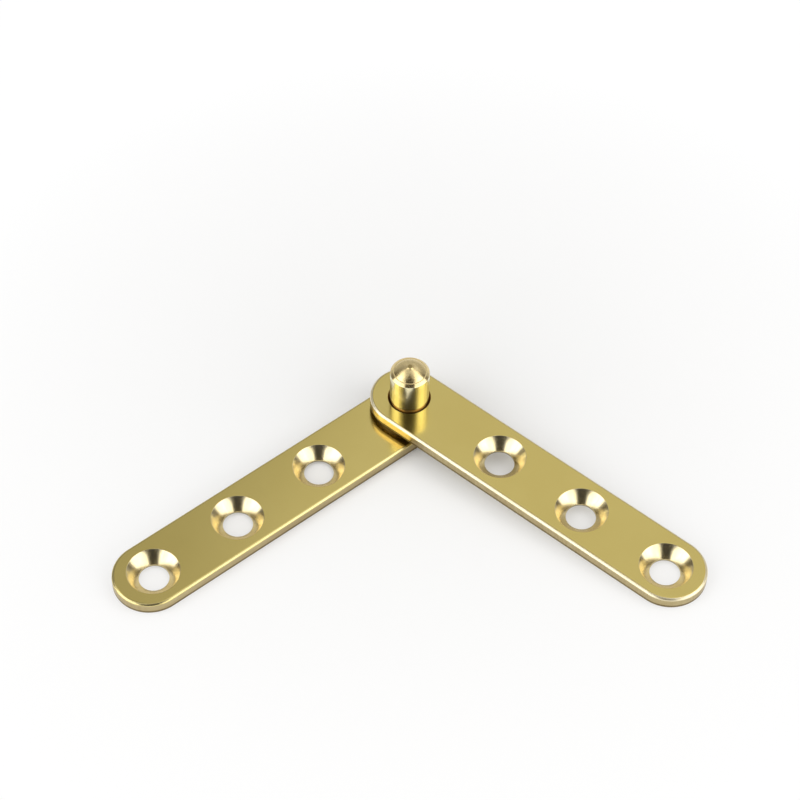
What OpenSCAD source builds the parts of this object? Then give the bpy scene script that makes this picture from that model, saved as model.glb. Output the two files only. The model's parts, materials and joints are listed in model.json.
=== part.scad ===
// Straight pivot hinge: two stamped brass leaves, a riveted pin and a washer.
// The origin is on the pivot axis, level with the underside of the lower leaf.
// +Z runs up the pin. The lower leaf lies along -X.

/* [Leaves] */
// Width of each leaf
leaf_width = 11.2; // [10:0.1:16]
// Thickness of each leaf
leaf_thickness = 2; // [1.6:0.1:3]
// From the last screw hole to the round end of the leaf
end_margin = 6.2; // [6:0.1:12]
// From the pivot axis to the round end beside it
pivot_margin = 6.1; // [5.6:0.1:8]
// Radius of the tumbled edge around the screw face
face_edge_r = 0.6; // [0.3:0.05:0.7]
// Radius of the edge around the back
back_edge_r = 0.2; // [0.05:0.05:0.3]
// Angle between the two leaves as laid out
open_angle = 101; // [45:1:180]

/* [Screw holes] */
// Number of screw holes in each leaf
hole_count = 3; // [2:1:5]
// From the pivot axis to the nearest screw hole
first_hole = 17.6; // [14:0.1:24]
// From one screw hole to the next
hole_spacing = 15.3; // [12:0.1:24]
// Diameter of each screw hole
hole_d = 4.5; // [3.5:0.1:5]
// Straight depth left under each countersink
hole_land = 0.3; // [0.2:0.05:0.8]
// Full angle of each countersink
countersink_angle = 90; // [82:1:100]

/* [Pivot pin] */
// Diameter of the pin
pin_d = 6; // [5:0.1:7]
// Height of the straight shank above the upper leaf
pin_stand = 5.85; // [3:0.05:12]
// Chamfer around the tip
tip_chamfer = 0.45; // [0.2:0.05:0.8]
// Height of the domed tip above its chamfer
dome_height = 0.95; // [0.5:0.05:1.5]
// Diameter of the turning nib in the middle of the dome
nib_d = 0.9; // [0.5:0.05:1.2]
// How far the nib stands out of the dome
nib_height = 0.1; // [0.05:0.01:0.2]
// Diameter of the spigot that goes through the lower leaf
spigot_d = 4; // [3:0.1:4.4]
// How far the riveted head spreads past the spigot
rivet_spread = 0.7; // [0.4:0.05:0.9]

/* [Washer] */
// Outer diameter of the washer
washer_d = 10.6; // [9:0.1:16]
// Thickness of the washer
washer_thickness = 0.8; // [0.2:0.05:1]

/* [Fits] */
// Radial clearance between the pin and what turns on it
pin_clearance = 0.1; // [0.04:0.01:0.1]
// Radial clearance around the riveted spigot
rivet_clearance = 0.02; // [0.01:0.01:0.05]
// Broken edge at each end of the pivot bore
bore_break = 0.2; // [0.05:0.01:0.25]

/* [Hidden] */
$fn = 96;

pin_r = pin_d / 2;
bore_r = pin_r + pin_clearance;
spigot_r = spigot_d / 2;
end_r = leaf_width / 2;
last_hole = first_hole + (hole_count - 1) * hole_spacing;
end_centre = last_hole + end_margin - end_r;
pivot_end_centre = end_r - pivot_margin;
countersink_depth = leaf_thickness - hole_land;
countersink_r = hole_d / 2 + countersink_depth * tan(countersink_angle / 2);
washer_z = leaf_thickness;
upper_z = washer_z + washer_thickness;
shank_top = upper_z + leaf_thickness + pin_stand;
dome_base_z = shank_top + tip_chamfer;
dome_base_r = pin_r - tip_chamfer;
dome_r = (dome_base_r * dome_base_r + dome_height * dome_height) / (2 * dome_height);
past = 1;
brass = [0.75, 0.66, 0.40];
pin_brass = [0.84, 0.68, 0.36];

// Half of the leaf's cross-section, from its middle line to its rounded edge
module half_section() {
    square([end_r - face_edge_r, leaf_thickness]);
    square([end_r - back_edge_r, leaf_thickness - face_edge_r]);
    translate([0, back_edge_r])
        square([end_r, leaf_thickness - face_edge_r - back_edge_r]);
    translate([end_r - face_edge_r, leaf_thickness - face_edge_r])
        circle(r = face_edge_r);
    translate([end_r - back_edge_r, back_edge_r])
        circle(r = back_edge_r);
}

// Half-round end of a leaf, curved towards the angle given
module round_end(facing) {
    rotate([0, 0, facing - 90])
        rotate_extrude(angle = 180)
            half_section();
}

// Solid strip with two round ends, from just behind the pivot axis along +X
module blank() {
    translate([pivot_end_centre, 0, 0]) {
        rotate([90, 0, 90])
            linear_extrude(height = end_centre - pivot_end_centre) {
                half_section();
                mirror([1, 0])
                    half_section();
            }
        round_end(180);
    }
    translate([end_centre, 0, 0])
        round_end(0);
}

// Screw hole, countersunk from the face
module screw_hole() {
    translate([0, 0, -past])
        cylinder(h = leaf_thickness + 2 * past, d = hole_d);
    translate([0, 0, hole_land])
        cylinder(h = countersink_depth, r1 = hole_d / 2, r2 = countersink_r);
    translate([0, 0, leaf_thickness])
        cylinder(h = past, r = countersink_r);
}

// Leaf blank with its row of screw holes
module drilled_leaf() {
    difference() {
        blank();
        for (i = [0 : hole_count - 1])
            translate([first_hole + i * hole_spacing, 0, 0])
                screw_hole();
    }
}

// Spigot and riveted head of the pin, or the hole for them with a clearance
module spigot(clearance, extra) {
    radius = spigot_r + clearance;
    translate([0, 0, -extra])
        cylinder(h = leaf_thickness + 2 * extra, r = radius);
    cylinder(h = rivet_spread, r1 = radius + rivet_spread, r2 = radius);
}

module lower_leaf() {
    color(brass)
        difference() {
            rotate([0, 0, 180])
                drilled_leaf();
            spigot(rivet_clearance, past);
        }
}

// Pivot bore with both of its edges broken
module pivot_bore() {
    wide_r = bore_r + bore_break;
    translate([0, 0, -past])
        cylinder(h = leaf_thickness + 2 * past, r = bore_r);
    cylinder(h = bore_break, r1 = wide_r, r2 = bore_r);
    translate([0, 0, leaf_thickness - bore_break])
        cylinder(h = bore_break, r1 = bore_r, r2 = wide_r);
}

module upper_leaf() {
    color(brass)
        translate([0, 0, upper_z])
            rotate([0, 0, 180 + open_angle])
                difference() {
                    drilled_leaf();
                    pivot_bore();
                }
}

// Shallow dome with the small nib that turning leaves in its middle
module domed_tip() {
    intersection() {
        translate([0, 0, dome_height - dome_r])
            sphere(r = dome_r);
        cylinder(h = dome_height, r = dome_base_r);
    }
    translate([0, 0, dome_height / 2])
        cylinder(h = dome_height / 2 + nib_height, d = nib_d);
}

module pivot_pin() {
    color(pin_brass) {
        spigot(0, 0);
        translate([0, 0, leaf_thickness])
            cylinder(h = shank_top - leaf_thickness, r = pin_r);
        translate([0, 0, shank_top])
            cylinder(h = tip_chamfer, r1 = pin_r, r2 = dome_base_r);
        translate([0, 0, dome_base_z])
            domed_tip();
    }
}

module washer() {
    color(brass)
        translate([0, 0, washer_z])
            difference() {
                cylinder(h = washer_thickness, d = washer_d);
                translate([0, 0, -past])
                    cylinder(h = washer_thickness + 2 * past, r = bore_r);
            }
}

lower_leaf();
upper_leaf();
pivot_pin();
washer();
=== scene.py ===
import bpy
import json
import math
from mathutils import Matrix, Vector

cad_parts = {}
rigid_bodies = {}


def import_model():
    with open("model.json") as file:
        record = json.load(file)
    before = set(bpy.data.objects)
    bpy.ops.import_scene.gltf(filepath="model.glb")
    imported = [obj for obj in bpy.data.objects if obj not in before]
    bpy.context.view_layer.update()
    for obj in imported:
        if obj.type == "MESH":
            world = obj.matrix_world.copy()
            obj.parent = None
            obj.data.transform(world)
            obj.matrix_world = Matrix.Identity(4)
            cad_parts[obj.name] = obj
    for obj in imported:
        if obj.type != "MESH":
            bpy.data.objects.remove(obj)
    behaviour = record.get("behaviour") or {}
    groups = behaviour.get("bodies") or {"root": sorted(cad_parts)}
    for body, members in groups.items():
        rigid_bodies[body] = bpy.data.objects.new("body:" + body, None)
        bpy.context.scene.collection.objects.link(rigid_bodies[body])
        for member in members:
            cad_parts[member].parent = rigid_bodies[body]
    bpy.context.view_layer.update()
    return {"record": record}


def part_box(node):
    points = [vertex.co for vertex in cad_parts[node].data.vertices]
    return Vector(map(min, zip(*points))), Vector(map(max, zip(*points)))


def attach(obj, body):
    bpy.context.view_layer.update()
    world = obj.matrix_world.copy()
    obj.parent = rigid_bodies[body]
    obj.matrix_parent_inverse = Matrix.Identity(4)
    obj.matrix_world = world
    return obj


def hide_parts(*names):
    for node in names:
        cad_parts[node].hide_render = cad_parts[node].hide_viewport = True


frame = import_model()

record = frame["record"]
mounts = {mount["name"]: mount for mount in record["mounts"]}
mm = 0.001  # everything is modelled in millimetres and brought down to metres at the end
pivot = Vector((0, 0, 0))
meshPlan = {
    "weld": 0.0004,  # vertices nearer than this are one
    "levelGap": 0.0005,
    "level": 0.9999,  # a face whose normal is this upright is a level face
    "flatWeight": 80,
    "turnedRun": 3,  # length laid out for each radian of a turned surface
}


def deselectAll():
    if bpy.context.object and bpy.context.object.mode != "OBJECT":
        bpy.ops.object.mode_set(mode="OBJECT")
    bpy.ops.object.select_all(action="DESELECT")


def inMillimetres(vector):
    return Vector([part / mm for part in vector])


def arcPoints(centre, radius, fromAngle, toAngle, steps):
    points = []
    for i in range(steps + 1):
        angle = math.radians(fromAngle + (toAngle - fromAngle) * i / steps)
        points.append((centre[0] + radius * math.cos(angle), centre[1] + radius * math.sin(angle)))
    return points


def drawProfile(points):
    # edit mode: one new vertex, drawn out point by point along the profile
    bpy.ops.mesh.select_all(action="DESELECT")
    bpy.ops.mesh.primitive_plane_add(size=1, location=(0, 0, 0))
    bpy.ops.mesh.merge(type="CENTER")
    bpy.ops.transform.translate(value=points[0])
    for before, after in zip(points, points[1:]):
        step = Vector(after) - Vector(before)
        bpy.ops.mesh.extrude_vertices_move(TRANSFORM_OT_translate={"value": step})
    bpy.ops.mesh.select_linked()


def startPiece(name):
    deselectAll()
    bpy.ops.mesh.primitive_plane_add(size=1, location=(0, 0, 0))
    piece = bpy.context.object
    piece.name = name
    piece.data.name = name
    bpy.ops.object.mode_set(mode="EDIT")
    bpy.ops.mesh.select_mode(type="VERT")
    bpy.ops.mesh.delete(type="VERT")
    return piece


def selectVertices(piece, test):
    bpy.ops.mesh.select_all(action="DESELECT")
    bpy.ops.object.mode_set(mode="OBJECT")
    for vertex in piece.data.vertices:
        vertex.select = test(vertex.co)
    bpy.ops.object.mode_set(mode="EDIT")


def turnProfile(profile, centre, steps):
    # turns a profile all the way round an upright axis
    drawProfile([(centre.x + radius, centre.y, height) for radius, height in profile])
    bpy.ops.mesh.spin(steps=steps, angle=math.radians(360), center=(centre.x, centre.y, 0), axis=(0, 0, 1))


def closeLevel(piece, height):
    # fills the flat between the loops at this height
    selectVertices(piece, lambda co: abs(co.z - height) < meshPlan["levelGap"])
    bpy.ops.mesh.fill(use_beauty=True)


def tidyMesh():
    bpy.ops.mesh.select_all(action="SELECT")
    bpy.ops.mesh.remove_doubles(threshold=meshPlan["weld"])
    bpy.ops.mesh.normals_make_consistent(inside=False)


def toMetres(piece, turn, lift):
    # object mode: puts the mesh at its place in the frame
    piece.data.transform(Matrix.Translation((0, 0, lift)) @ Matrix.Rotation(turn, 4, "Z"))
    piece.scale = (mm, mm, mm)
    bpy.ops.object.transform_apply(location=True, rotation=True, scale=True)


def keepFlats(piece):
    # the outline of every level face is sharp, so that the rounding beside it can't tilt its shading
    beside = {}
    for face in piece.data.polygons:
        for key in face.edge_keys:
            beside.setdefault(key, set()).add(abs(face.normal.z) > meshPlan["level"])
    for edge in piece.data.edges:
        if len(beside[edge.key]) == 2:
            edge.use_edge_sharp = True


def smoothPiece(piece, angle):
    bpy.ops.object.shade_smooth_by_angle(angle=math.radians(angle))
    keepFlats(piece)
    weighted = piece.modifiers.new("weighted normals", "WEIGHTED_NORMAL")
    weighted.keep_sharp = True
    weighted.weight = meshPlan["flatWeight"]
    bpy.ops.object.modifier_apply(modifier=weighted.name)


def layOut(piece, place):
    # one coordinate layer, in millimetres: along and across the work of each face
    layer = piece.data.uv_layers.new(name="work")
    for face in piece.data.polygons:
        for loop in face.loop_indices:
            corner = piece.data.vertices[piece.data.loops[loop].vertex_index].co
            layer.data[loop].uv = place(face, corner)


def turnedPlace(centre, face, corner):
    # round an axis, with the angle kept whole across each face, and along the profile
    middle = math.atan2(face.center.y - centre.y, face.center.x - centre.x)
    reach = math.hypot(corner.x - centre.x, corner.y - centre.y)
    angle = math.atan2(corner.y - centre.y, corner.x - centre.x)
    while angle - middle > math.pi:
        angle -= 2 * math.pi
    while middle - angle > math.pi:
        angle += 2 * math.pi
    return angle * meshPlan["turnedRun"], reach + corner.z


cameraPlan = {
    "aim": (0.964, 3.295, 0),  # from the pivot axis at the lower leaf's underside
    "direction": 49.504,  # which way it looks, from +X
    "drop": 51.669,
    "distance": 372.09,
    "roll": 1.42,
    "lens": 108.05,
    "near": 0.01,
    "far": 20,
}

look = math.radians(cameraPlan["direction"])
drop = math.radians(cameraPlan["drop"])
forward = Vector((math.cos(look) * math.cos(drop), math.sin(look) * math.cos(drop), -math.sin(drop)))
bpy.ops.object.camera_add(location=(Vector(cameraPlan["aim"]) - forward * cameraPlan["distance"]) * mm)
camera = bpy.context.object
level = forward.to_track_quat("-Z", "Y")
camera.rotation_mode = "QUATERNION"
roll = Matrix.Rotation(math.radians(cameraPlan["roll"]), 4, "Z")
camera.rotation_quaternion = level @ roll.to_quaternion()
camera.data.lens = cameraPlan["lens"]
camera.data.clip_start = cameraPlan["near"]
camera.data.clip_end = cameraPlan["far"]
bpy.context.scene.camera = camera
print("camera set")


def newMaterial(name):
    material = bpy.data.materials.new(name)
    material.use_nodes = True
    tree = material.node_tree
    shader = tree.nodes["Principled BSDF"]
    shader.location = (500, 0)
    tree.nodes["Material Output"].location = (800, 0)
    return material, tree, shader


def addNode(tree, kind, x, y, **values):
    node = tree.nodes.new(kind)
    node.location = (x, y)
    for name, value in values.items():
        setattr(node, name, value)
    return node


def join(tree, source, output, target, entry):
    tree.links.new(source.outputs[output], target.inputs[entry])


def newGroup(name, entries, exits):
    group = bpy.data.node_groups.new(name, "ShaderNodeTree")
    for title, kind, value in entries:
        socket = group.interface.new_socket(name=title, in_out="INPUT", socket_type=kind)
        if value is not None:
            socket.default_value = value
    for title, kind in exits:
        group.interface.new_socket(name=title, in_out="OUTPUT", socket_type=kind)
    entry = addNode(group, "NodeGroupInput", -800, 0)
    leave = addNode(group, "NodeGroupOutput", 700, 0)
    return group, entry, leave


def useGroup(tree, group, x, y, **values):
    node = addNode(tree, "ShaderNodeGroup", x, y, node_tree=group)
    for name, value in values.items():
        node.inputs[name].default_value = value
    return node


def makeFineLines():
    # long fine lines of polishing or turning: dense across, drawn out along
    group, entry, leave = newGroup(
        "fine lines",
        [("Vector", "NodeSocketVector", None), ("Along", "NodeSocketFloat", 0.2),
         ("Across", "NodeSocketFloat", 12.0), ("Sharpness", "NodeSocketFloat", 0.3)],
        [("Lines", "NodeSocketFloat")])
    stretch = addNode(group, "ShaderNodeCombineXYZ", -600, -120)
    scaled = addNode(group, "ShaderNodeVectorMath", -400, 0, operation="MULTIPLY")
    noise = addNode(group, "ShaderNodeTexNoise", -200, 0)
    noise.inputs["Scale"].default_value = 1.0
    noise.inputs["Detail"].default_value = 4.0
    noise.inputs["Roughness"].default_value = 0.62
    low = addNode(group, "ShaderNodeMath", 0, -160, operation="MULTIPLY_ADD")
    low.inputs[1].default_value = 0.45
    low.inputs[2].default_value = 0.1
    ease = addNode(group, "ShaderNodeMapRange", 250, 0)
    ease.inputs["From Max"].default_value = 0.75
    join(group, entry, "Along", stretch, "X")
    join(group, entry, "Across", stretch, "Y")
    join(group, entry, "Across", stretch, "Z")
    join(group, entry, "Vector", scaled, 0)
    join(group, stretch, "Vector", scaled, 1)
    join(group, scaled, "Vector", noise, "Vector")
    join(group, entry, "Sharpness", low, 0)
    join(group, low, "Value", ease, "From Min")
    join(group, noise, "Fac", ease, "Value")
    join(group, ease, "Result", leave, "Lines")
    return group


def makeToneDrift():
    # slow change between two tones of the same metal
    group, entry, leave = newGroup(
        "tone drift",
        [("Vector", "NodeSocketVector", None), ("Scale", "NodeSocketFloat", 60.0),
         ("Light Tone", "NodeSocketColor", (0.8, 0.7, 0.4, 1)),
         ("Deep Tone", "NodeSocketColor", (0.6, 0.5, 0.2, 1)),
         ("Spread", "NodeSocketFloat", 1.0)],
        [("Color", "NodeSocketColor")])
    broad = addNode(group, "ShaderNodeTexNoise", -500, 100)
    broad.inputs["Detail"].default_value = 3.0
    broad.inputs["Roughness"].default_value = 0.55
    span = addNode(group, "ShaderNodeMapRange", -250, 100)
    span.inputs["From Min"].default_value = 0.32
    span.inputs["From Max"].default_value = 0.68
    amount = addNode(group, "ShaderNodeMath", 0, 100, operation="MULTIPLY")
    mix = addNode(group, "ShaderNodeMix", 300, 0, data_type="RGBA")
    join(group, entry, "Vector", broad, "Vector")
    join(group, entry, "Scale", broad, "Scale")
    join(group, broad, "Fac", span, "Value")
    join(group, span, "Result", amount, 0)
    join(group, entry, "Spread", amount, 1)
    join(group, amount, "Value", mix, 0)
    join(group, entry, "Light Tone", mix, 6)
    join(group, entry, "Deep Tone", mix, 7)
    join(group, mix, 2, leave, "Color")
    return group


def makeHandling():
    # sparse small specks and rubs that handling leaves on bright metal
    group, entry, leave = newGroup(
        "handling",
        [("Vector", "NodeSocketVector", None), ("Scale", "NodeSocketFloat", 900.0),
         ("Amount", "NodeSocketFloat", 0.3)],
        [("Mask", "NodeSocketFloat")])
    specks = addNode(group, "ShaderNodeTexVoronoi", -500, 100, feature="DISTANCE_TO_EDGE")
    rubs = addNode(group, "ShaderNodeTexNoise", -500, -200)
    rubs.inputs["Detail"].default_value = 6.0
    rubs.inputs["Roughness"].default_value = 0.7
    fewer = addNode(group, "ShaderNodeMapRange", -250, -200)
    fewer.inputs["From Min"].default_value = 0.52
    fewer.inputs["From Max"].default_value = 0.74
    thin = addNode(group, "ShaderNodeMapRange", -250, 100)
    thin.inputs["From Min"].default_value = 0.05
    thin.inputs["From Max"].default_value = 0.0
    both = addNode(group, "ShaderNodeMath", 0, 0, operation="MULTIPLY")
    sized = addNode(group, "ShaderNodeMath", 250, 0, operation="MULTIPLY")
    join(group, entry, "Vector", specks, "Vector")
    join(group, entry, "Scale", specks, "Scale")
    join(group, entry, "Vector", rubs, "Vector")
    join(group, entry, "Scale", rubs, "Scale")
    join(group, specks, "Distance", thin, "Value")
    join(group, rubs, "Fac", fewer, "Value")
    join(group, thin, "Result", both, 0)
    join(group, fewer, "Result", both, 1)
    join(group, both, "Value", sized, 0)
    join(group, entry, "Amount", sized, 1)
    join(group, sized, "Value", leave, "Mask")
    return group


fineLines = makeFineLines()
toneDrift = makeToneDrift()
handling = makeHandling()
print("shared effects ready")


def passInto(tree, place, tone, rough, plan, other):
    # the painted reflection on the wall gives out with the distance from the pivot, and the other finish
    # shows
    level = addNode(tree, "ShaderNodeVectorMath", -1900, 700, operation="MULTIPLY")
    level.inputs[1].default_value = (1, 1, 0)
    away = addNode(tree, "ShaderNodeVectorMath", -1700, 700, operation="LENGTH")
    share = addNode(tree, "ShaderNodeMapRange", -1500, 700)
    share.inputs["From Min"].default_value = plan["fade"][0]
    share.inputs["From Max"].default_value = plan["fade"][1]
    join(tree, place, "Object", level, 0)
    join(tree, level, "Vector", away, 0)
    join(tree, away, "Value", share, "Value")
    for row, (kind, socket) in enumerate((("light", "Light Tone"), ("deep", "Deep Tone"))):
        mix = addNode(tree, "ShaderNodeMix", -1200, 800 - row * 250, data_type="RGBA")
        mix.inputs[6].default_value = (*plan[kind], 1)
        mix.inputs[7].default_value = (*other[kind], 1)
        join(tree, share, "Result", mix, 0)
        join(tree, mix, 2, tone, socket)
    for row, socket in enumerate(("To Min", "To Max")):
        blend = addNode(tree, "ShaderNodeMapRange", -700, 900 - row * 250)
        blend.inputs["To Min"].default_value = plan["rough"][row]
        blend.inputs["To Max"].default_value = other["rough"][row]
        join(tree, share, "Result", blend, "Value")
        join(tree, blend, "Result", rough, socket)


markRelief = -0.6  # marks go in, lines stand out
quarterTurn = 0.25


def makeBrass(name, plan):
    material, tree, shader = newMaterial(name)
    place = addNode(tree, "ShaderNodeTexCoord", -1300, 0)
    work = addNode(tree, "ShaderNodeUVMap", -1300, -300, uv_map="work")
    tone = useGroup(tree, toneDrift, -900, 300, Scale=plan["driftScale"], Spread=plan["drift"])
    tone.inputs["Light Tone"].default_value = (*plan["light"], 1)
    tone.inputs["Deep Tone"].default_value = (*plan["deep"], 1)
    lines = useGroup(tree, fineLines, -900, -100, Along=plan["along"], Across=plan["across"],
                     Sharpness=plan["sharp"])
    marks = useGroup(tree, handling, -900, -400, Scale=plan["markScale"], Amount=plan["marks"])
    lineTone = addNode(tree, "ShaderNodeMix", -450, 300, data_type="RGBA", blend_type="MULTIPLY")
    lineTone.inputs[7].default_value = (*plan["lineTint"], 1)
    lineDepth = addNode(tree, "ShaderNodeMath", -650, 50, operation="MULTIPLY")
    lineDepth.inputs[1].default_value = plan["lineColour"]
    rough = addNode(tree, "ShaderNodeMapRange", -450, -50)
    rough.inputs["To Min"].default_value = plan["rough"][0]
    rough.inputs["To Max"].default_value = plan["rough"][1]
    roughMarks = addNode(tree, "ShaderNodeMath", -200, -100, operation="ADD")
    relief = addNode(tree, "ShaderNodeMath", -450, -400, operation="MULTIPLY_ADD")
    relief.inputs[1].default_value = markRelief
    bump = addNode(tree, "ShaderNodeBump", 150, -350)
    bump.inputs["Strength"].default_value = plan["bump"]
    bump.inputs["Distance"].default_value = plan["depth"]
    join(tree, place, "Object", tone, "Vector")
    join(tree, place, "Object", marks, "Vector")
    join(tree, work, "UV", lines, "Vector")
    join(tree, lines, "Lines", lineDepth, 0)
    join(tree, lineDepth, "Value", lineTone, 0)
    join(tree, tone, "Color", lineTone, 6)
    join(tree, lineTone, 2, shader, "Base Color")
    join(tree, lines, "Lines", rough, "Value")
    join(tree, rough, "Result", roughMarks, 0)
    join(tree, marks, "Mask", roughMarks, 1)
    join(tree, roughMarks, "Value", shader, "Roughness")
    join(tree, marks, "Mask", relief, 0)
    join(tree, lines, "Lines", relief, 2)
    join(tree, relief, "Value", bump, "Height")
    join(tree, bump, "Normal", shader, "Normal")
    shader.inputs["Metallic"].default_value = 1.0
    if "stretch" in plan:
        # turning marks run round the axis, so reflections are drawn out across them
        around = addNode(tree, "ShaderNodeTangent", 150, -600, direction_type="UV_MAP", uv_map="work")
        join(tree, around, "Tangent", shader, "Tangent")
        shader.inputs["Anisotropic"].default_value = plan["stretch"]
        shader.inputs["Anisotropic Rotation"].default_value = quarterTurn
    if "edgeTint" in plan:
        shader.inputs["Specular Tint"].default_value = (*plan["edgeTint"], 1)
    if "fade" in plan:
        passInto(tree, place, tone, rough, plan, finishes[plan["fadeTo"]])
    material.diffuse_color = (*plan["light"], 1)
    return material


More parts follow.
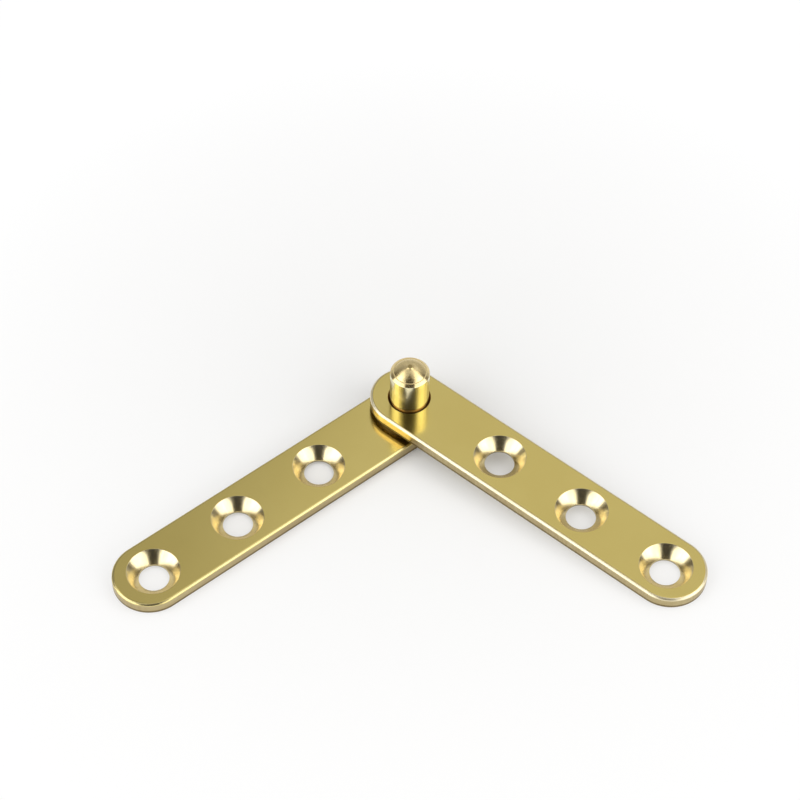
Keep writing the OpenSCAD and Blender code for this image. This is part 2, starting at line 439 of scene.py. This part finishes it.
finishes = {
    "tumbledFace": {
        "light": (0.640, 0.520, 0.177), "deep": (0.590, 0.470, 0.148), "driftScale": 55, "drift": 0.7,
        "along": 0.25, "across": 5.0, "sharp": 0.3, "lineTint": (0.95, 0.94, 0.90), "lineColour": 0.15,
        "rough": (0.14, 0.17), "markScale": 700, "marks": 0.04, "bump": 0.015, "depth": 0.00002,
    },
    "shearedEdge": {
        "light": (0.56, 0.47, 0.255), "deep": (0.480, 0.380, 0.210), "driftScale": 160, "drift": 0.8,
        "along": 2.5, "across": 0.5, "sharp": 0.5, "lineTint": (0.72, 0.66, 0.55), "lineColour": 0.7,
        "rough": (0.30, 0.46), "markScale": 900, "marks": 0.1, "bump": 0.35, "depth": 0.00004,
    },
    # painted highlight: the upper leaf's rounded edges are painted much paler than the brass, so the lamps
    # they mirror come out white
    "paintedHighlightEdge": {
        "light": (0.89, 0.81, 0.60), "deep": (0.82, 0.72, 0.46), "driftScale": 140, "drift": 0.7,
        "along": 0.6, "across": 5.0, "sharp": 0.4, "lineTint": (0.92, 0.88, 0.76), "lineColour": 0.4,
        "rough": (0.34, 0.42), "markScale": 900, "marks": 0.06, "bump": 0.04, "depth": 0.00002,
    },
    # polished countersinks, painted paler than the brass as painted highlight, so the lamps they mirror
    # come out white
    "polishedSinkPaintedHighlight": {
        "light": (0.83, 0.73, 0.47), "deep": (0.78, 0.67, 0.40), "driftScale": 300, "drift": 0.6,
        "along": 1.6, "across": 0.3, "sharp": 0.6, "lineTint": (0.95, 0.88, 0.66), "lineColour": 0.5,
        "rough": (0.21, 0.26), "markScale": 900, "marks": 0.03, "bump": 0.03, "depth": 0.00001,
        "edgeTint": (0.70, 0.60, 0.38),  # what it mirrors at a glancing angle stays golden
    },
    # painted highlight, the dimmer copy: the lower leaf's rounded edges are painted less pale than the
    # upper leaf's, so the lamps they mirror come out cream
    "paintedCreamHighlightEdge": {
        "light": (0.72, 0.62, 0.30), "deep": (0.66, 0.55, 0.24), "driftScale": 140, "drift": 0.7,
        "along": 0.6, "across": 5.0, "sharp": 0.4, "lineTint": (0.92, 0.88, 0.76), "lineColour": 0.4,
        "rough": (0.22, 0.28), "markScale": 900, "marks": 0.06, "bump": 0.04, "depth": 0.00002,
    },
    # painted reflection: the gold that the lower leaf mirrors into the upper leaf's wall by the pivot is
    # painted in as a paler, brighter wall colour
    "paintedReflectionWall": {
        "light": (0.92, 0.76, 0.44), "deep": (0.86, 0.68, 0.36), "driftScale": 200, "drift": 0.7,
        "along": 0.5, "across": 3.0, "sharp": 0.4, "lineTint": (0.90, 0.82, 0.64), "lineColour": 0.5,
        "rough": (0.12, 0.20), "markScale": 900, "marks": 0.06, "bump": 0.08, "depth": 0.00002,
        "fade": (0.0066, 0.0082), "fadeTo": "shearedEdge",
    },
    # painted shade: the rounding under each wall is painted dark as the line of shade along the wall's
    # foot
    "paintedShadeBackEdge": {
        "light": (0.22, 0.17, 0.09), "deep": (0.15, 0.11, 0.05), "driftScale": 200, "drift": 0.8,
        "along": 0.6, "across": 4.0, "sharp": 0.4, "lineTint": (0.80, 0.72, 0.60), "lineColour": 0.5,
        "rough": (0.36, 0.50), "markScale": 900, "marks": 0.1, "bump": 0.1, "depth": 0.00002,
    },
    # the torn band at the foot of each wall, painted dark also as the shade along the foot
    "tornEdgeAndFootShade": {
        "light": (0.28, 0.22, 0.10), "deep": (0.20, 0.15, 0.06), "driftScale": 180, "drift": 0.8,
        "along": 2.5, "across": 0.6, "sharp": 0.5, "lineTint": (0.70, 0.62, 0.50), "lineColour": 0.7,
        "rough": (0.38, 0.52), "markScale": 900, "marks": 0.1, "bump": 0.4, "depth": 0.00004,
    },
    # the unpolished underside, painted darker also as shade, since the lower leaf mirrors the upper leaf's
    # underside in the gap
    "plainBackAndGapShade": {
        "light": (0.46, 0.37, 0.14), "deep": (0.38, 0.30, 0.10), "driftScale": 60, "drift": 0.8,
        "along": 0.25, "across": 5.0, "sharp": 0.4, "lineTint": (0.88, 0.84, 0.74), "lineColour": 0.4,
        "rough": (0.34, 0.44), "markScale": 700, "marks": 0.08, "bump": 0.06, "depth": 0.00002,
    },
    # the torn nib in the middle of the dome, painted dark as the spot of shade it shows
    "tornNibPaintedDark": {
        "light": (0.42, 0.33, 0.15), "deep": (0.34, 0.26, 0.10), "driftScale": 900, "drift": 0.8,
        "along": 0.4, "across": 6.0, "sharp": 0.4, "lineTint": (0.80, 0.72, 0.60), "lineColour": 0.5,
        "rough": (0.34, 0.46), "markScale": 1500, "marks": 0.1, "bump": 0.2, "depth": 0.00002,
    },
    # painted shade: the walls inside the screw holes are painted dark as the shade inside them
    "drilledWallPaintedShade": {
        "light": (0.30, 0.25, 0.14), "deep": (0.20, 0.16, 0.08), "driftScale": 260, "drift": 0.8,
        "along": 3.0, "across": 6.0, "sharp": 0.5, "lineTint": (0.70, 0.64, 0.52), "lineColour": 0.6,
        "rough": (0.22, 0.36), "markScale": 900, "marks": 0.08, "bump": 0.3, "depth": 0.00003,
    },
    "turnedTip": {
        "light": (0.90, 0.74, 0.40), "deep": (0.84, 0.67, 0.33), "driftScale": 420, "drift": 0.8,
        "along": 0.2, "across": 6.0, "sharp": 0.5, "lineTint": (0.86, 0.80, 0.68), "lineColour": 0.6,
        "rough": (0.23, 0.29), "markScale": 1200, "marks": 0.05, "bump": 0.06, "depth": 0.00001,
        "stretch": 0.90,
    },
    # painted shade: the pivot bore is painted dark brown as the shade in the gap round the pin
    "paintedShadeBore": {
        "light": (0.36, 0.20, 0.06), "deep": (0.24, 0.12, 0.03), "driftScale": 500, "drift": 0.8,
        "along": 0.4, "across": 5.0, "sharp": 0.5, "lineTint": (0.80, 0.70, 0.60), "lineColour": 0.6,
        "rough": (0.30, 0.42), "markScale": 900, "marks": 0.1, "bump": 0.1, "depth": 0.00002,
    },
    "turnedPin": {
        "light": (0.97, 0.92, 0.64), "deep": (0.93, 0.86, 0.56), "driftScale": 220, "drift": 0.7,
        "along": 0.3, "across": 9.0, "sharp": 0.5, "lineTint": (0.92, 0.86, 0.70), "lineColour": 0.5,
        "rough": (0.16, 0.21), "markScale": 900, "marks": 0.04, "bump": 0.05, "depth": 0.00001,
        "stretch": 0.80,
    },
    # painted shade: the washer is painted near black as the shade between the leaves, which the lower
    # leaf's face also mirrors
    "washerPaintedShade": {
        "light": (0.10, 0.07, 0.035), "deep": (0.06, 0.04, 0.02), "driftScale": 200, "drift": 0.9,
        "along": 0.4, "across": 6.0, "sharp": 0.4, "lineTint": (0.85, 0.80, 0.70), "lineColour": 0.6,
        "rough": (0.34, 0.46), "markScale": 900, "marks": 0.1, "bump": 0.2, "depth": 0.00002,
    },
}
brass = {name: makeBrass(name, plan) for name, plan in finishes.items()}
print("finishes made:", ", ".join(brass))


leafPlan = {
    "edgeRound": (0.42, 0.46),  # tumbled edge round the screw face, lower and upper leaf
    "backRound": 0.2,
    "edgeSteps": 7,
    "backSteps": 3,
    "rimRound": 0.1,  # softened rim of each countersink
    "rimSteps": 4,
    "sinkSlope": 45,
    "land": 0.3,  # straight wall left under a countersink
    "landBreak": 0.06,
    "rivetHole": (2.02, 0.0, 0.7),  # radius, then how far its upper and lower edges are broken
    "pivotBore": (3.1, 0.2, 0.2),
    "tornBand": 0.55,  # below this the wall is torn and painted dark also as the shade along its foot, above it is sheared
    "endWall": 6.0,  # how far past the pivot the end of the wall reaches; on the upper leaf it is painted bright as the gold reflection of the lower leaf
    "sinkReach": 0.3,  # past a sink's radius, still counted as its wall
    "boreReach": 1.6,
    "endRun": 5,  # length laid out for each radian round an end
    "steep": 0.3,  # a face whose normal is less upright than this is part of a wall
    "flat": 0.97,  # and one whose normal is more upright than this is level
    "holeSteps": 96,
    "endSteps": 64,
    "smooth": 28,
}
leafFinishes = {  # the parts of a leaf, in the order of its finishes
    "face": "tumbledFace",
    "wall": "shearedEdge",
    "sink": "polishedSinkPaintedHighlight",
    "hole": "drilledWallPaintedShade",
    "edge": "paintedCreamHighlightEdge",
    "bore": "paintedShadeBore",
    "paintedShadeBackEdge": "paintedShadeBackEdge",
    "endWall": "shearedEdge",
    "tornWall": "tornEdgeAndFootShade",
    "back": "plainBackAndGapShade",
}

lowerLow, lowerHigh = [inMillimetres(corner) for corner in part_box("lower_leaf")]
leafThickness = lowerHigh.z - lowerLow.z
leafEnd = lowerHigh.y  # radius of the round ends
leafReach = -lowerLow.x - leafEnd  # from the pivot axis to the centre of the far end
leafOver = lowerHigh.x - leafEnd  # from the pivot axis back to the centre of the near end
middleHole = inMillimetres(mounts["lower_middle_hole"]["pos_m"])
holeSpacing = mounts["lower_screw_holes"]["dims"]["spacing_x_mm"] / 2
holeRadius = mounts["lower_middle_hole"]["dims"]["r_mm"]
sinkRadius = holeRadius + leafThickness - leafPlan["land"]
holePlaces = [middleHole + Vector((step * holeSpacing, 0, 0)) for step in (1, 0, -1)]


def edgeProfile(plan, big):
    # from the face round the tumbled edge, down the wall and round to the back
    small = plan["backRound"]
    points = arcPoints((leafEnd - big, leafThickness - big), big, 90, 0, plan["edgeSteps"])
    points.append((leafEnd, plan["tornBand"]))
    points += arcPoints((leafEnd - small, small), small, 0, -90, plan["backSteps"])
    return points


def sinkProfile(plan):
    # down a countersink from its softened rim, over the land and out at the back
    soft, slope = plan["rimRound"], plan["sinkSlope"]
    away = soft * math.tan(math.radians(slope / 2))
    points = arcPoints((sinkRadius + away, leafThickness - soft), soft, 90, 90 + slope, plan["rimSteps"])
    points.append((holeRadius + plan["landBreak"], plan["land"] + plan["landBreak"]))
    points.append((holeRadius, plan["land"] - plan["landBreak"]))
    points.append((holeRadius, plan["landBreak"]))
    points.append((holeRadius + plan["landBreak"], 0))
    return points


def boreProfile(radius, topBreak, backBreak):
    return [(radius + topBreak, leafThickness), (radius, leafThickness - topBreak), (radius, backBreak),
            (radius + backBreak, 0)]


def makeLeaf(name, pivotHole, edgeRound):
    plan = leafPlan
    leaf = startPiece(name)
    # the edge of the strip: one profile spun round the pivot end, drawn along in two lengths,
    # spun round the far end and drawn back the same way
    pivotLength = leafOver + plan["endWall"]
    farLength = leafReach - plan["endWall"]
    drawProfile([(leafOver, reach, height) for reach, height in edgeProfile(plan, edgeRound)])
    halfTurn = {"steps": plan["endSteps"], "angle": math.pi, "axis": (0, 0, 1)}
    bpy.ops.mesh.spin(center=(leafOver, 0, 0), **halfTurn)
    bpy.ops.mesh.extrude_edges_move(TRANSFORM_OT_translate={"value": (-pivotLength, 0, 0)})
    bpy.ops.mesh.extrude_edges_move(TRANSFORM_OT_translate={"value": (-farLength, 0, 0)})
    bpy.ops.mesh.spin(center=(-leafReach, 0, 0), **halfTurn)
    bpy.ops.mesh.extrude_edges_move(TRANSFORM_OT_translate={"value": (farLength, 0, 0)})
    bpy.ops.mesh.extrude_edges_move(TRANSFORM_OT_translate={"value": (pivotLength, 0, 0)})
    for centre in holePlaces:
        turnProfile(sinkProfile(plan), centre, plan["holeSteps"])
    turnProfile(pivotHole, pivot, plan["holeSteps"])
    tidyMesh()
    closeLevel(leaf, leafThickness)
    closeLevel(leaf, 0)
    tidyMesh()
    deselectAll()
    leaf.select_set(True)
    return leaf


def holeAt(place):
    # the hole, if any, whose wall this point is on
    for centre in holePlaces:
        if math.hypot(place.x - centre.x, place.y - centre.y) < sinkRadius + leafPlan["sinkReach"]:
            return centre
    if math.hypot(place.x, place.y) < holeRadius + leafPlan["boreReach"]:
        return pivot
    return None


def leafPart(face):
    # the part of a leaf that a face belongs to, by its place and the way it faces
    upright = abs(face.normal.z) < leafPlan["steep"]
    sloped = leafPlan["steep"] <= abs(face.normal.z) < leafPlan["flat"]
    hole = holeAt(face.center)
    if hole is not None and hole is not pivot and sloped and face.center.z > leafPlan["land"]:
        return "sink"
    if hole is not None and (upright or sloped):
        return "bore" if hole is pivot else "hole"
    if upright and face.center.z < leafPlan["tornBand"]:
        return "tornWall"
    if upright:
        return "endWall" if face.center.x > -leafPlan["endWall"] else "wall"
    if sloped:
        return "edge" if face.normal.z > 0 else "paintedShadeBackEdge"
    return "back" if face.normal.z < 0 else "face"


def finishLeaf(leaf, changes):
    worn = {**leafFinishes, **changes}
    parts = list(worn)
    for finish in worn.values():
        leaf.data.materials.append(brass[finish])
    for face in leaf.data.polygons:
        face.material_index = parts.index(leafPart(face))

    def workPlace(face, corner):
        part = parts[face.material_index]
        if part in ("sink", "hole", "bore"):
            return turnedPlace(holeAt(face.center), face, corner)
        if part in ("wall", "endWall", "tornWall"):
            straight = -leafReach < corner.x < 0
            return corner.x if straight else math.atan2(corner.y, 1) * leafPlan["endRun"], corner.z
        return corner.x, corner.y

    layOut(leaf, workPlace)


lowerLeaf = makeLeaf("lower-leaf-strip", boreProfile(*leafPlan["rivetHole"]), leafPlan["edgeRound"][0])
finishLeaf(lowerLeaf, {})
toMetres(lowerLeaf, 0, 0)
smoothPiece(lowerLeaf, leafPlan["smooth"])
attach(lowerLeaf, "lower_leaf")
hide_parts("lower_leaf")

upperMiddle = inMillimetres(mounts["upper_middle_hole"]["pos_m"])
upperTurn = math.atan2(upperMiddle.y, upperMiddle.x) + math.pi
upperLift = inMillimetres(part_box("upper_leaf")[0]).z
upperLeaf = makeLeaf("upper-leaf-strip", boreProfile(*leafPlan["pivotBore"]), leafPlan["edgeRound"][1])
# the upper leaf gets the whiter painted highlight on its edges and the painted reflection on its wall by
# the pivot
finishLeaf(upperLeaf, {"edge": "paintedHighlightEdge", "endWall": "paintedReflectionWall"})
toMetres(upperLeaf, upperTurn, upperLift)
smoothPiece(upperLeaf, leafPlan["smooth"])
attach(upperLeaf, "upper_leaf")
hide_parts("upper_leaf")
print("leaves made,", len(lowerLeaf.data.polygons) + len(upperLeaf.data.polygons), "faces")


pinPlan = {
    "spigot": 2.0,
    "rivetSpread": 0.7,
    "rivetRound": (0.1, 0.06),  # across and up, at the foot of the riveted head
    "rivetMiddle": 0.25,
    "corner": 0.05,  # broken corners where the spigot meets the shank
    "rings": 13,
    "firstRing": 0.2,
    "ringSpacing": 0.6,
    "chamfer": 0.40,
    "tipRound": 0.1,
    "tipDrop": 0.04,
    "shoulder": 0.17,  # narrow flat between the chamfer and the dome
    "crown": 1.0,  # height of the domed tip over its chamfer
    "crownSteps": 12,
    "nib": 0.45,
    "nibFoot": 0.12,  # the dome ends this far outside the nib
    "nibRound": 0.08,
    "nibMiddle": 0.12,
    "nibStand": 0.1,
    "tornRim": 0.15,
    "tipEdge": 0.05,  # the bright tip starts this far above the foot of its chamfer
    "middleReach": 0.3,
    "steps": 128,
    "smooth": 30,
}

pinLow, pinHigh = [inMillimetres(corner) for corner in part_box("pivot_pin")]
pinRadius = pinHigh.x


def pinProfile(plan):
    spigot, chamfer, corner, tipRound = plan["spigot"], plan["chamfer"], plan["corner"], plan["tipRound"]
    headReach = spigot + plan["rivetSpread"]
    top = pinHigh.z - plan["nibStand"]
    crownFoot = top - plan["crown"]
    crownReach = pinRadius - chamfer - plan["shoulder"]
    crownRadius = (crownReach ** 2 + plan["crown"] ** 2) / (2 * plan["crown"])
    points = [(plan["rivetMiddle"], 0.0), (headReach - plan["rivetRound"][0], 0.0)]
    points += [(headReach, plan["rivetRound"][1])]
    points += [(spigot, plan["rivetSpread"]), (spigot, leafThickness - corner)]
    points += [(spigot + corner, leafThickness), (pinRadius - corner, leafThickness)]
    points.append((pinRadius, leafThickness + corner))
    points += [(pinRadius, leafThickness + plan["firstRing"] + plan["ringSpacing"] * i)
               for i in range(plan["rings"])]
    points += arcPoints((pinRadius - tipRound, crownFoot - chamfer - plan["tipDrop"]), tipRound, 0, 45, 3)
    points.append((pinRadius - chamfer, crownFoot))
    foot = math.degrees(math.asin(crownReach / crownRadius))
    neck = math.degrees(math.asin((plan["nib"] + plan["nibFoot"]) / crownRadius))
    points += arcPoints((0, top - crownRadius), crownRadius, 90 - foot, 90 - neck, plan["crownSteps"])
    soft = plan["nibRound"]
    points += arcPoints((plan["nib"] - soft, pinHigh.z - soft), soft, 0, 90, 3)
    points.append((plan["nibMiddle"], pinHigh.z))
    return points


def makePin():
    plan = pinPlan
    pin = startPiece("pivot-pin-turned")
    turnProfile(pinProfile(plan), pivot, plan["steps"])
    tidyMesh()
    # closes the middles of the riveted end and of the nib
    selectVertices(pin, lambda co: math.hypot(co.x, co.y) < plan["middleReach"])
    bpy.ops.mesh.edge_face_add()
    tidyMesh()
    deselectAll()
    pin.select_set(True)
    for finish in ("turnedPin", "turnedTip", "tornNibPaintedDark"):
        pin.data.materials.append(brass[finish])
    tipFoot = pinHigh.z - plan["nibStand"] - plan["crown"] - plan["chamfer"] + plan["tipEdge"]
    for face in pin.data.polygons:
        if face.center.z > tipFoot:
            reach = math.hypot(face.center.x, face.center.y)
            face.material_index = 2 if reach < plan["nib"] - plan["tornRim"] else 1
    layOut(pin, lambda face, corner: turnedPlace(pivot, face, corner))
    return pin


pin = makePin()
toMetres(pin, 0, 0)
smoothPiece(pin, pinPlan["smooth"])
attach(pin, "lower_leaf")
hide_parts("pivot_pin")


washerPlan = {
    "edge": 0.14,
    "edgeTurn": 60,  # how far round the outer edge is rounded, either way from its middle
    "foot": 0.04,  # the rounding stays this far above the underside
    "clearance": 0.1,
    "brightSlope": (0.25, 0.97),  # how upright the normals of its rounded edge are, which keeps a brass colour while the rest of the washer is painted dark as shade
    "steps": 128,
    "smooth": 30,
}

washerLow, washerHigh = [inMillimetres(corner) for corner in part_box("washer")]


def makeWasher():
    plan = washerPlan
    soft, turn = plan["edge"], plan["edgeTurn"]
    outer, inner = washerHigh.x, pinRadius + plan["clearance"]
    low, high = washerLow.z, washerHigh.z
    washer = startPiece("washer-pressed")
    points = [(inner + soft, high), (outer - soft, high)]
    points += [(reach, max(low + plan["foot"], height))
               for reach, height in arcPoints((outer - soft, high - soft), soft, turn, -turn, 4)]
    points += [(outer - soft, low), (inner + soft, low), (inner, low + soft), (inner, high - soft)]
    points.append(points[0])
    turnProfile(points, pivot, plan["steps"])
    tidyMesh()
    deselectAll()
    washer.select_set(True)
    for finish in ("washerPaintedShade", "shearedEdge"):
        washer.data.materials.append(brass[finish])
    for face in washer.data.polygons:
        if plan["brightSlope"][0] < face.normal.z < plan["brightSlope"][1]:
            face.material_index = 1
    layOut(washer, lambda face, corner: turnedPlace(pivot, face, corner))
    return washer


washer = makeWasher()
toMetres(washer, 0, 0)
smoothPiece(washer, washerPlan["smooth"])
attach(washer, "washer")
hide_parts("washer")
print("pin and washer made")


floorPlan = {
    "size": 3000,
    "tilt": 3.35,  # the hinge rests on the lower leaf's near edge and the upper leaf's far end
    "cuts": 8,
    "tone": 0.90,
    "grain": 30,
    "grainTone": 0.01,
    "rough": 0.7,
    "shine": 0.1,
    "glow": (0.03, 1.0),  # how white it is by itself where seen or mirrored, at the pivot and far off
    "reach": (0.0, 0.085),  # the distances, in metres, between which that changes
}


def makeFloor():
    deselectAll()
    bpy.ops.mesh.primitive_plane_add(size=floorPlan["size"] * mm, location=(0, 0, 0))
    floor = bpy.context.object
    floor.name = "floor"
    bpy.ops.object.mode_set(mode="EDIT")
    bpy.ops.mesh.subdivide(number_cuts=floorPlan["cuts"])
    bpy.ops.object.mode_set(mode="OBJECT")
    hinge = Vector((0, -leafEnd * mm, 0))
    tilt = Matrix.Rotation(math.radians(-floorPlan["tilt"]), 4, "X")
    floor.data.transform(Matrix.Translation(hinge) @ tilt)
    material, tree, shader = newMaterial("pale floor")
    place = addNode(tree, "ShaderNodeTexCoord", -900, 0)
    grain = addNode(tree, "ShaderNodeTexNoise", -700, 0)
    grain.inputs["Scale"].default_value = floorPlan["grain"]
    tone = addNode(tree, "ShaderNodeMapRange", -400, 0)
    tone.inputs["To Min"].default_value = floorPlan["tone"] - floorPlan["grainTone"]
    tone.inputs["To Max"].default_value = floorPlan["tone"] + floorPlan["grainTone"]
    path = addNode(tree, "ShaderNodeLightPath", -900, -300)
    seen = addNode(tree, "ShaderNodeMath", -650, -250, operation="MAXIMUM")
    seenToo = addNode(tree, "ShaderNodeMath", -450, -300, operation="MAXIMUM")
    away = addNode(tree, "ShaderNodeVectorMath", -650, -500, operation="LENGTH")
    spread = addNode(tree, "ShaderNodeMapRange", -450, -500)
    spread.inputs["From Min"].default_value = floorPlan["reach"][0]
    spread.inputs["From Max"].default_value = floorPlan["reach"][1]
    spread.inputs["To Min"].default_value = floorPlan["glow"][0]
    spread.inputs["To Max"].default_value = floorPlan["glow"][1]
    glow = addNode(tree, "ShaderNodeMath", -250, -300, operation="MULTIPLY")
    join(tree, place, "Object", away, 0)
    join(tree, away, "Value", spread, "Value")
    join(tree, spread, "Result", glow, 1)
    rest = addNode(tree, "ShaderNodeMath", -50, -150, operation="SUBTRACT")
    rest.inputs[0].default_value = 1.0
    share = addNode(tree, "ShaderNodeMath", 150, 0, operation="MULTIPLY")
    join(tree, path, "Is Camera Ray", seen, 0)
    join(tree, path, "Is Glossy Ray", seen, 1)
    join(tree, seen, "Value", seenToo, 0)
    join(tree, path, "Is Transmission Ray", seenToo, 1)
    join(tree, seenToo, "Value", glow, 0)
    join(tree, glow, "Value", rest, 1)
    join(tree, place, "Object", grain, "Vector")
    join(tree, grain, "Fac", tone, "Value")
    join(tree, tone, "Result", share, 0)
    join(tree, rest, "Value", share, 1)
    join(tree, share, "Value", shader, "Base Color")
    join(tree, glow, "Value", shader, "Emission Strength")
    shader.inputs["Emission Color"].default_value = (1, 1, 1, 1)
    shader.inputs["Roughness"].default_value = floorPlan["rough"]
    shader.inputs["Specular IOR Level"].default_value = floorPlan["shine"]
    floor.data.materials.append(material)
    return floor


floor = makeFloor()
print("floor laid")


wallBoxes = {  # upright soft boxes to both sides, reaching well forward and not very high
    "left box": {"turn": -80, "away": 0.50, "forward": 0.305, "middle": 0.30, "wide": 0.82, "high": 0.54,
                 "level": 2.15, "tint": (1.0, 1.0, 1.0)},
    "right box": {"turn": 80, "away": 0.50, "forward": 0.305, "middle": 0.30, "wide": 0.82, "high": 0.54,
                  "level": 2.05, "tint": (1.0, 0.99, 0.96)},
}
hungBoxes = {  # soft boxes hung overhead, facing the hinge
    "left roof": {"turn": -86, "rise": 57, "away": 0.60, "wide": 0.48, "high": 0.22, "level": 1.20,
                  "tint": (1.0, 0.98, 0.92)},
    "right roof": {"turn": 84, "rise": 57, "away": 0.60, "wide": 0.48, "high": 0.22, "level": 1.10,
                   "tint": (1.0, 0.98, 0.92)},
    "top box": {"turn": 40, "rise": 80, "away": 0.80, "wide": 0.90, "high": 0.70, "level": 0.35,
                "tint": (1.0, 1.0, 1.0)},
    "back box": {"turn": 148, "rise": 56, "away": 0.80, "wide": 0.63, "high": 0.60, "level": 0.29,
                 "tint": (1.0, 1.0, 1.0)},
    "low sheet": {"turn": 180, "rise": 20, "away": 0.85, "wide": 1.70, "high": 0.42, "level": 0.17,
                  "tint": (1.0, 0.97, 0.90)},
    "back sheet": {"turn": 160, "rise": 56, "away": 0.85, "wide": 0.95, "high": 0.60, "level": 0.24,
                   "tint": (1.0, 1.0, 1.0)},
}
roomLevel = 0.33


def directionTo(turn, rise):
    # turn is measured from the camera's side, to the right as it looks
    angle = look + math.pi + math.radians(turn)
    up = math.radians(rise)
    return Vector((math.cos(angle) * math.cos(up), math.sin(angle) * math.cos(up), math.sin(up)))


def addBox(name, place, way, plan):
    bpy.ops.object.light_add(type="AREA", location=place)
    lamp = bpy.context.object
    lamp.name = name
    lamp.rotation_mode = "QUATERNION"
    lamp.rotation_quaternion = way.to_track_quat("-Z", "Y")
    lamp.data.shape = "RECTANGLE"
    lamp.data.size = plan["wide"]
    lamp.data.size_y = plan["high"]
    lamp.data.energy = plan["level"] * math.pi * plan["wide"] * plan["high"]
    lamp.data.color = plan["tint"]


for name, plan in wallBoxes.items():
    way = directionTo(plan["turn"], 0)
    front = directionTo(0, 0)
    along = (front - way * front.dot(way)).normalized()
    addBox(name, way * plan["away"] + along * plan["forward"] + Vector((0, 0, plan["middle"])), -way, plan)
for name, plan in hungBoxes.items():
    way = directionTo(plan["turn"], plan["rise"])
    addBox(name, way * plan["away"], -way, plan)


clothTint = (1.0, 0.80, 0.55)
cardPlan = {  # strips of cloth round the studio that shape the reflections and nothing else
    "front dark wall": {"reach": 1.2, "foot": 0.20, "height": 1.65, "middle": 0, "half": 62, "tone": 0.03},
    "camera shade": {"reach": 0.12, "foot": 0.13, "height": 0.65, "middle": 0, "half": 27, "tone": 0.04},
    "left flag": {"reach": 0.42, "foot": 0.385, "height": 0.42, "middle": -39, "half": 22, "tone": 0.03},
    "right flag": {"reach": 0.42, "foot": 0.385, "height": 0.42, "middle": 34, "half": 18, "tone": 0.03},
    "left skirt": {"reach": 0.55, "foot": 0.0, "height": 0.30, "middle": -108, "half": 14, "tone": 0.07},
    "right skirt": {"reach": 0.55, "foot": 0.0, "height": 0.30, "middle": 103, "half": 9, "tone": 0.09},
}
for name, plan in cardPlan.items():
    deselectAll()
    bpy.ops.mesh.primitive_circle_add(vertices=72, radius=plan["reach"], location=(0, 0, plan["foot"]))
    card = bpy.context.object
    card.name = name.replace(" ", "-")
    bpy.ops.object.mode_set(mode="EDIT")
    bpy.ops.mesh.extrude_edges_move(TRANSFORM_OT_translate={"value": (0, 0, plan["height"])})
    middle = directionTo(plan["middle"], 0)
    selectVertices(card, lambda co: Vector((co.x, co.y, 0)).angle(middle) > math.radians(plan["half"]))
    bpy.ops.mesh.delete(type="VERT")
    deselectAll()
    cloth, _, shader = newMaterial(name + " cloth")
    shader.inputs["Base Color"].default_value = (*[plan["tone"] * part for part in clothTint], 1)
    shader.inputs["Roughness"].default_value = 0.9
    card.data.materials.append(cloth)
    card.visible_camera = False
    card.visible_diffuse = False
    card.visible_shadow = False

world = bpy.data.worlds.new("studio")
bpy.context.scene.world = world
world.use_nodes = True
world.node_tree.nodes["Background"].inputs["Color"].default_value = (1, 1, 1, 1)
world.node_tree.nodes["Background"].inputs["Strength"].default_value = roomLevel
bpy.context.scene.view_settings.view_transform = "Standard"
print("light set")
